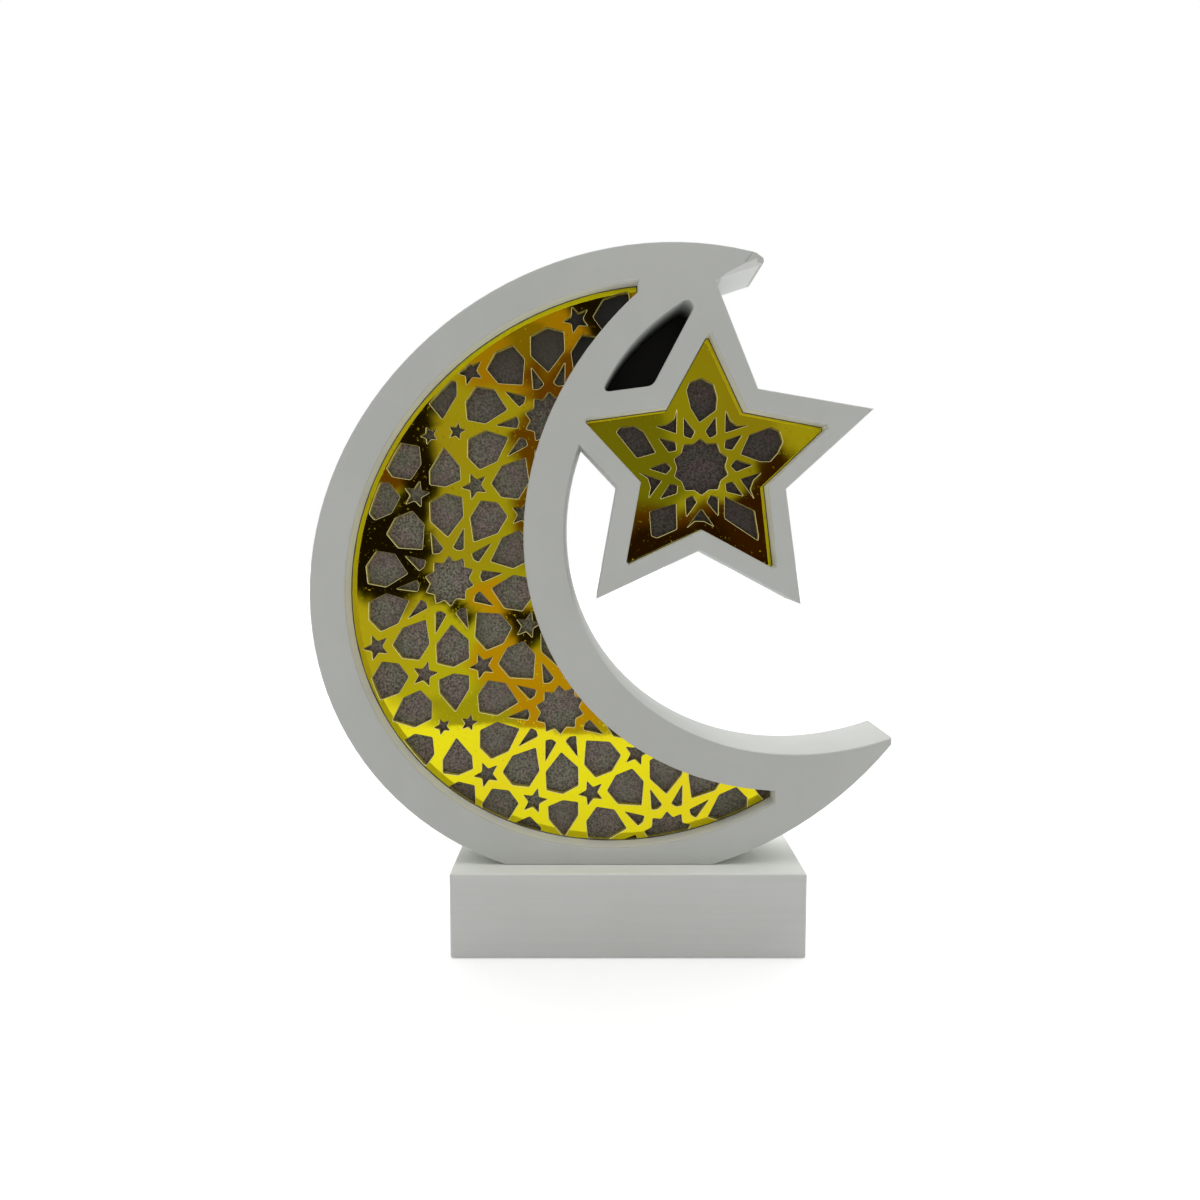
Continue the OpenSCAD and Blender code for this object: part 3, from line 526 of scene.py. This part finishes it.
def frosted(name, colour, shade, glow=0.0):
    """A rough, pale cut face. glow is a painted highlight: the face glows where it faces up or
    sideways, and is painted dark, as painted shade, where it faces down."""
    made, tree, shader, place = material(name)
    frost = noise(tree, place, 1200, 2)
    tone = blend(tree, ramp(tree, frost, 0.3, 0.7), colour, shade)
    if glow:
        normal = put(tree, "NewGeometry").outputs["Normal"]
        upward = put(tree, "SeparateXYZ", Vector=normal).outputs[2]
        lit = ramp(tree, upward, -0.95, -0.05)
        tone = blend(tree, lit, RIM_PAINTED_SHADE, tone)
        set_inputs(tree, shader, Emission_Color=blend(tree, lit, UNLIT, colour),
                   Emission_Strength=glow)
    set_inputs(tree, shader, Base_Color=tone, Roughness=0.3)
    bumped(tree, shader, frost, FROST_DEPTH)
    return made


def with_round_corners(loop):
    """A loop of points [x, z] whose sharp corners are rounded: each corner p is bent between
    p - cut * e1 and p + cut * e2, with e1 and e2 along its two edges. The other points stay."""
    before, after = loop - np.roll(loop, 1, axis=0), np.roll(loop, -1, axis=0) - loop
    before_long = np.linalg.norm(before, axis=1, keepdims=True)
    after_long = np.linalg.norm(after, axis=1, keepdims=True)
    turn = (before * after).sum(axis=1, keepdims=True) / before_long / after_long
    sharp = np.arccos(np.clip(turn, -1, 1)) >= SHARP
    cut = np.minimum(CORNER_CUT, CORNER_SHARE * np.minimum(before_long, after_long)) * sharp
    a, b = loop - cut * before / before_long, loop + cut * after / after_long
    curves = bent(a[:, None], loop[:, None], b[:, None], CORNER_STEPS)
    wanted = sharp | (np.arange(CORNER_STEPS + 1) == 0)
    return curves[wanted]


def cut_sheet(node, finishes):
    """The fretwork rebuilt from the CAD sheet's outlines: a mirror face, which lies RIM_WIDTH
    in from each outline, a slanting rim from there to RIM_DEPTH below, the cut walls and the
    back. finishes are the mirror's, the rim's and the walls'."""
    points, faces = merged(node)
    low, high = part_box(node)
    rows, sides, which, fronts, backs = [], [], [], [], []
    total = 0
    for loop in face_loops(points, faces, low.y)[0]:
        outline = with_round_corners(points[loop][:, [0, 2]])
        face = inset(outline, RIM_WIDTH)
        rows += [at_depth(face, low.y), at_depth(outline, low.y + RIM_DEPTH),
                 at_depth(outline, high.y)]
        front, corner, back = total + np.arange(3 * len(outline)).reshape(3, -1)
        sides += band(corner, front) + band(back, corner)
        which += [1] * len(outline) + [2] * len(outline)
        fronts.append((face, front))
        backs.append((outline, back))
        total += 3 * len(outline)
    mirror_faces = fill(fronts)
    back_faces = [face[::-1] for face in fill(backs)]
    which = [0] * len(mirror_faces) + which + [2] * len(back_faces)
    return smooth_piece("cut_" + node, node, np.vstack(rows), mirror_faces + sides + back_faces,
                        finishes, which)


def shadow_line(name, window, level, finish):
    """A dark bead along the foot of a window's lip, down to the sheet at y = level: painted shadow
    where the lip meets the sheet. Its width at [x, z] is w * (1 + share * sin(900 x) * cos(700 z))."""
    waver = np.sin(SHADOW_LINE_WAVES[0] * window[:, :1]) * np.cos(SHADOW_LINE_WAVES[1] * window[:, 1:])
    foot = inset(window, -SHADOW_LINE_WIDTH * (1 + SHADOW_LINE_SHARE * waver))
    points = np.vstack([at_depth(window, level - SHADOW_LINE_WIDTH), at_depth(foot, level - SHADOW_LINE_LIFT)])
    ring = np.arange(len(window))
    piece = new_piece(name, points, band(ring + len(ring), ring), [finish])
    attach(piece, frame["nodes"]["moon_star_frame"]["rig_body"])
    return piece


mirror = gold_mirror()
# The rims glow where they face up or sideways and darken where they face down: painted highlight
# and painted shade.
rim = frosted("cut_rim", RIM, RIM_SHADE, RIM_PAINTED_GLOW)
wall = frosted("cut_wall", CUT_WALL, CUT_SHADE)
# The dark bead along each lip's foot is painted shadow.
shadow_line_finish = frosted("shadow_line_finish", PAINTED_SHADOW_LINE, PAINTED_SHADOW_LINE_SHADE)
for node in ("crescent_fretwork", "star_fretwork"):
    cut_sheet(node, [mirror, rim, wall])
board_points, board_faces = merged("moon_star_frame")
windows = by_size(board_points, face_loops(board_points, board_faces, board_low.y)[0])[1:3]
for name, window in zip(("crescent", "star"), windows):
    sheet_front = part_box(name + "_fretwork")[0].y
    bead = shadow_line(name + "_shadow_line", board_points[window][:, [0, 2]], sheet_front, shadow_line_finish)


# Diffusers. Sheets of grey-brown film on clear plastic, frosted, with a fine sparkling speckle.
# They lie behind the fretwork and show through every opening. The crescent's is given painted
# shade: it darkens over the heights UPPER, and is all but black in its upper tip, right of TIP_X
# and above TIP_Z, as painted shadow.
FILM = (0.14, 0.124, 0.098, 1)
FILM_STAR = (0.05, 0.038, 0.034, 1)
# Painted shade towards the crescent's upper end, and painted shadow in its upper tip.
FILM_PAINTED_SHADE = (0.04, 0.031, 0.024, 1)
FILM_PAINTED_SHADOW = (0.008, 0.01, 0.013, 1)
FILM_PURPLE = (1.07, 0.94, 1.04, 1)
FILM_GREEN = (0.95, 1.05, 0.95, 1)
PALE_SHARE = 2.3
DARK_SHARE = 0.35
FILM_SHADE_SHARE = 0.9
UPPER = (0.165, 0.215)
TIP_X = (-0.014, -0.006)
TIP_Z = (0.15, 0.16)
SPECKLE_DEPTH = 0.0001


def film(name, colour, shade_share=0.0):
    """The speckled film. shade_share is how far painted shade darkens it towards the crescent's
    upper end.
    """
    made, tree, shader, place = material(name)
    x, _, z = put(tree, "SeparateXYZ", Vector=place).outputs
    speckle = noise(tree, place, 1300, 2, 0.7)
    pale = tuple(min(1, PALE_SHARE * c) for c in colour[:3]) + (1,)
    dark = tuple(DARK_SHARE * c for c in colour[:3]) + (1,)
    tone = blend(tree, ramp(tree, speckle, 0.32, 0.68), dark, pale)
    cloud = ramp(tree, noise(tree, place, 45, 3), 0.35, 0.7, 0.0, 0.5)
    tone = blend(tree, cloud, tone, colour)
    tint = ramp(tree, noise(tree, place, 190, 2), 0.35, 0.65)
    tone = blend(tree, 1.0, tone, blend(tree, tint, FILM_PURPLE, FILM_GREEN), "MULTIPLY")
    tone = blend(tree, ramp(tree, z, *UPPER, 0, shade_share), tone, FILM_PAINTED_SHADE)
    tip_shadow = maths(tree, "MULTIPLY", ramp(tree, x, *TIP_X), ramp(tree, z, *TIP_Z, 0, shade_share))
    set_inputs(tree, shader, Base_Color=blend(tree, tip_shadow, tone, FILM_PAINTED_SHADOW),
               Roughness=maths(tree, "MULTIPLY_ADD", speckle, 0.3, 0.35))
    bumped(tree, shader, speckle, SPECKLE_DEPTH, 0.6)
    return made


# The crescent's film darkens towards its upper end and tip: painted shade.
dress(["crescent_diffuser"], film("crescent_film", FILM, FILM_SHADE_SHARE))
dress(["star_diffuser"], film("star_film", FILM_STAR))


# Lights. A flexible strip glued round the inside of the crescent's chamber and a round board in
# the star's, both coated white, with yellow light chips soldered to them.
STRIP_WHITE = (0.78, 0.78, 0.74, 1)
STRIP_SHADE = (0.7, 0.7, 0.66, 1)
CHIP = (0.8, 0.68, 0.2, 1)
CHIP_SHADE = (0.7, 0.58, 0.15, 1)
SKIN_DEPTH = 0.00004


def plain(name, colour, shade, scale, roughness, metallic=0.0, depth=SKIN_DEPTH):
    """A moulded, plated or coated finish: two tones and a fine skin."""
    made, tree, shader, place = material(name)
    cloud = noise(tree, place, scale, 3)
    set_inputs(tree, shader, Metallic=metallic,
               Base_Color=blend(tree, ramp(tree, cloud, 0.3, 0.75), colour, shade),
               Roughness=maths(tree, "MULTIPLY_ADD", cloud, 0.15, roughness))
    bumped(tree, shader, noise(tree, place, 2500, 2), depth)
    return made


dress(["crescent_led_strip", "star_led_board"],
      plain("board_white", STRIP_WHITE, STRIP_SHADE, 200, 0.35))
dress(["crescent_leds", "star_leds"], plain("light_chip", CHIP, CHIP_SHADE, 500, 0.25))


# Battery box, its door and the switch. All are moulded: the box, the door and the slider in black
# plastic with a fine spark texture, and the switch's body in brown resin.
BLACK_PLASTIC = (0.02, 0.02, 0.022, 1)
BLACK_SHADE = (0.03, 0.03, 0.032, 1)
RESIN = (0.12, 0.035, 0.012, 1)
RESIN_SHADE = (0.09, 0.028, 0.01, 1)
SPARK_DEPTH = 0.0001

dress(["battery_box", "battery_door", "switch_slider"],
      plain("black_plastic", BLACK_PLASTIC, BLACK_SHADE, 300, 0.42, depth=SPARK_DEPTH))
dress(["switch_body"], plain("switch_resin", RESIN, RESIN_SHADE, 400, 0.4))


# Metal parts. The screws are zinc plated. The cells' springs and plates and the switch's frame
# are bent from wire and strip, and nickel plated.
ZINC = (0.55, 0.55, 0.57, 1)
ZINC_SHADE = (0.42, 0.42, 0.44, 1)
NICKEL = (0.66, 0.64, 0.6, 1)
NICKEL_SHADE = (0.5, 0.48, 0.45, 1)

dress(["cover_screws", "frame_screws", "switch_screws"],
      plain("zinc_plate", ZINC, ZINC_SHADE, 500, 0.28, metallic=1.0))
dress(["cell_springs", "cell_plates", "switch_frame"],
      plain("bright_nickel", NICKEL, NICKEL_SHADE, 600, 0.2, metallic=1.0))


# Cells. Steel cans in a shrunk plastic sleeve, black but for a copper-coloured band at the plus
# end. They lie side by side, the middle one the other way round.
SLEEVE = (0.02, 0.02, 0.02, 1)
SLEEVE_BAND = (0.6, 0.25, 0.06, 1)
CAN = (0.6, 0.6, 0.6, 1)
BAND_SHARE = 0.72
CAN_SHARE = 0.985


def sleeve(name, box, plus_high):
    """A cell's sleeve, its band from BAND_SHARE of its length on and the bare can from
    CAN_SHARE on. plus_high says that the plus end points to +X."""
    made, tree, shader, place = material(name)
    ends = (0, 1) if plus_high else (1, 0)
    along = ramp(tree, put(tree, "SeparateXYZ", Vector=place).outputs[0], box[0].x, box[1].x, *ends)
    tone = blend(tree, maths(tree, "GREATER_THAN", along, BAND_SHARE), SLEEVE, SLEEVE_BAND)
    metal = maths(tree, "GREATER_THAN", along, CAN_SHARE)
    scuffs = noise(tree, place, 900, 2)
    set_inputs(tree, shader, Base_Color=blend(tree, metal, tone, CAN), Metallic=metal,
               Roughness=maths(tree, "MULTIPLY_ADD", scuffs, 0.1, 0.22))
    return made


for i in (1, 2, 3):
    cell = f"battery_cell_{i}"
    dress([cell], sleeve(f"cell_sleeve_{i}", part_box(cell), i % 2 == 1))


# Leads. Stranded copper in soft insulation: red and black from the box, black to the switch and
# white between the two lights.
RED = (0.55, 0.02, 0.02, 1)
RED_SHADE = (0.42, 0.015, 0.015, 1)
LEAD_BLACK = (0.02, 0.02, 0.02, 1)
LEAD_BLACK_SHADE = (0.03, 0.03, 0.03, 1)
WHITE = (0.75, 0.75, 0.7, 1)
WHITE_SHADE = (0.65, 0.65, 0.6, 1)

dress(["lead_red"], plain("lead_red", RED, RED_SHADE, 300, 0.35))
dress(["lead_black", "lead_switch"], plain("lead_black", LEAD_BLACK, LEAD_BLACK_SHADE, 300, 0.35))
dress(["lead_star"], plain("lead_white", WHITE, WHITE_SHADE, 300, 0.35))


# Studio. A white floor, even pale light all round and a wide soft light overhead. The room looks
# white to the camera and in mirrors, and lights the ornament at the lower level AMBIENT.
FLOOR_HALF = 3.0
FLOOR_DROP = 0.0002
FLOOR_WHITE = (0.86, 0.86, 0.86, 1)
FLOOR_GLOW = 0.38
PURE_WHITE = (1, 1, 1, 1)
AMBIENT = 0.36
SOFT_SUN = 2.3
SUN_WIDTH = np.radians(100)
SUN_TILT = np.radians(-20)


def flat_sheet(name, corner, across, up, steps=2):
    """A flat sheet of steps x steps points: point (u, v) is corner + u * across + v * up, with u
    and v from 0 to 1. It returns the sheet and its points."""
    u, v = np.meshgrid(np.linspace(0, 1, steps), np.linspace(0, 1, steps))
    points = np.array(corner) + u.reshape(-1, 1) * across + v.reshape(-1, 1) * up
    n = np.arange(steps * steps).reshape(steps, steps)
    faces = np.stack([n[:-1, :-1], n[:-1, 1:], n[1:, 1:], n[1:, :-1]], -1).reshape(-1, 4)
    piece = new_piece(name, points, faces.tolist())
    return piece, points


floor, _ = flat_sheet("floor", (-FLOOR_HALF, -FLOOR_HALF, -FLOOR_DROP),
                      np.array((2 * FLOOR_HALF, 0, 0)), np.array((0, 2 * FLOOR_HALF, 0)))
made, tree, shader, _ = material("white_floor")
set_inputs(tree, shader, Base_Color=FLOOR_WHITE, Roughness=0.8, Specular_IOR_Level=0.1)
seen = put(tree, "LightPath").outputs["Is Camera Ray"]
glow = put(tree, "Emission", Color=PURE_WHITE, Strength=maths(tree, "MULTIPLY", seen, FLOOR_GLOW))
both = put(tree, "AddShader", i0=shader.outputs[0], i1=glow.outputs[0])
set_inputs(tree, tree.nodes["Material Output"], Surface=both.outputs[0])
floor.data.materials.append(made)

world = bpy.data.worlds.new("white_room")
world.use_nodes = True
scene.world = world
tree = world.node_tree
rays = put(tree, "LightPath").outputs
mirrored = maths(tree, "MAXIMUM", rays["Is Glossy Ray"], rays["Is Transmission Ray"])
plainly = maths(tree, "MAXIMUM", rays["Is Camera Ray"], mirrored)
set_inputs(tree, tree.nodes["Background"], Color=PURE_WHITE,
           Strength=maths(tree, "MULTIPLY_ADD", plainly, 1 - AMBIENT, AMBIENT))

sun = bpy.data.objects.new("soft_overhead", bpy.data.lights.new("soft_overhead", "SUN"))
sun.data.energy = SOFT_SUN
sun.data.angle = SUN_WIDTH
sun.rotation_euler = (SUN_TILT, 0, 0)
scene.collection.objects.link(sun)
scene.view_settings.view_transform = "Standard"


# The dim side of the room, which only the mirrors see: an upright card behind the camera with
# the dark and warm things that stand there. Each is a soft oval: its middle and half size in mm
# on the mirror sheets as seen in them, its turn in degrees and its colour.
CARD_BACK = 0.334
CARD_HALF = 0.62
CARD_HIGH = 0.8
CARD_POINTS = 241
SIDE_FADE = (0.45, 0.6)
TOP_FADE = (0.6, 0.78)
OVAL_FADE = (0.85, 1.15)
BIG_WAVER = 2.2
BIG_WAVES = 260
SMALL_WAVER = 0.8
SMALL_WAVES = 900
WAVE_START = np.array((0, 1.3))
ROOM_EDGE = 0.85
ROOM_TONE = (0.34, 0.33, 0.30)
WARM = (0.46, 0.27, 0.1)
BROWN = (0.12, 0.05, 0.025)
BLACK = (0.008, 0.005, 0.006)
THINGS = [
    ("pale wall", -72, 104, 34, 18, 0, (0.45, 0.45, 0.34)),
    ("olive wall", 40, 196, 36, 36, 0, (0.26, 0.25, 0.2)),
    ("shaded wall", 6, 166, 22, 24, -10, (0.15, 0.155, 0.12)),
    ("lit wall", 74, 177, 16, 13, 0, (0.34, 0.33, 0.26)),
    ("pale door", -50, 196, 30, 30, 40, (0.35, 0.335, 0.27)),
    ("wood board", -14, 212, 34, 16, 25, (0.34, 0.19, 0.06)),
    ("wood edge", -26, 207, 7, 14, 38, (0.2, 0.13, 0.06)),
    ("wood shadow", -6, 196, 26, 11, 50, BROWN),
    ("dark doorway", 2, 220, 11, 22, 40, BLACK),
    ("dark curtain", -79, 138, 19, 19, 0, BLACK),
    ("curtain edge", -64, 167, 7, 27, 0, BLACK),
    ("warm lamp", -77, 166, 8, 7, 20, BROWN),
    ("shelf post", -24, 172, 5, 36, -5, BROWN),
    ("stool leg", -36, 119, 14, 8, -40, WARM),
    ("stool seat", -22, 92, 26, 13, -25, WARM),
    ("stool shadow", -27, 112, 9, 6, -30, BLACK),
    ("curtain fold", -57, 122, 12, 4, -35, BLACK),
    ("pale floor", -88, 80, 34, 13, -18, (0.8, 0.8, 0.76)),
    ("chest edge", 32, 141, 38, 14, 5, (0.08, 0.03, 0.02)),
    ("dark chest", 33, 133, 38, 17, 4, (0.016, 0.006, 0.007)),
    ("chest side", 57, 154, 13, 20, -20, (0.03, 0.01, 0.008)),
]


def smooth_share(value, first, last):
    """0 below first, 1 above last, and a smooth S between them: h * h * (3 - 2 * h)."""
    h = np.clip((value - first) / (last - first), 0, 1)
    return h * h * (3 - 2 * h)


mirror_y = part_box("crescent_fretwork")[0].y
reach = 1 + CARD_BACK / (mirror_y - EYE[1])
card, points = flat_sheet("dim_card", (-CARD_HALF, mirror_y - CARD_BACK, 0),
                          np.array((2 * CARD_HALF, 0, 0)), np.array((0, 0, CARD_HIGH)), CARD_POINTS)
seen_at = (points[:, [0, 2]] - EYE[[0, 2]]) / reach + EYE[[0, 2]]
other_way = seen_at[:, ::-1]
seen_at = (seen_at * 1000 + BIG_WAVER * np.sin(other_way * BIG_WAVES + WAVE_START)
           + SMALL_WAVER * np.sin(other_way * SMALL_WAVES))
card_tone = np.tile(ROOM_TONE, (len(points), 1))
for _, x, z, half_x, half_z, degrees, colour in THINGS:
    turn = np.radians(degrees)
    dx, dz = seen_at[:, 0] - x, seen_at[:, 1] - z
    far = np.hypot((dx * np.cos(turn) + dz * np.sin(turn)) / half_x,
                   (dz * np.cos(turn) - dx * np.sin(turn)) / half_z)
    share = 1 - smooth_share(far, *OVAL_FADE)[:, None]
    card_tone = card_tone * (1 - share) + np.array(colour) * share
edge = smooth_share(np.abs(points[:, :1]), *SIDE_FADE) + smooth_share(points[:, 2:], *TOP_FADE)
card_tone += (ROOM_EDGE - card_tone) * np.clip(edge, 0, 1)
paint = card.data.color_attributes.new("tone", "FLOAT_COLOR", "POINT")
paint.data.foreach_set("color", np.c_[card_tone, np.ones(len(points))].astype(np.float32).ravel())
made, tree, shader, _ = material("dim_card")
tree.nodes.remove(shader)
painted = put(tree, "VertexColor", {"layer_name": "tone"}).outputs["Color"]
light = put(tree, "Emission", Color=painted)
set_inputs(tree, tree.nodes["Material Output"], Surface=light.outputs[0])
card.data.materials.append(made)
card.visible_camera = False
card.visible_diffuse = False
card.visible_shadow = False
card.visible_transmission = False
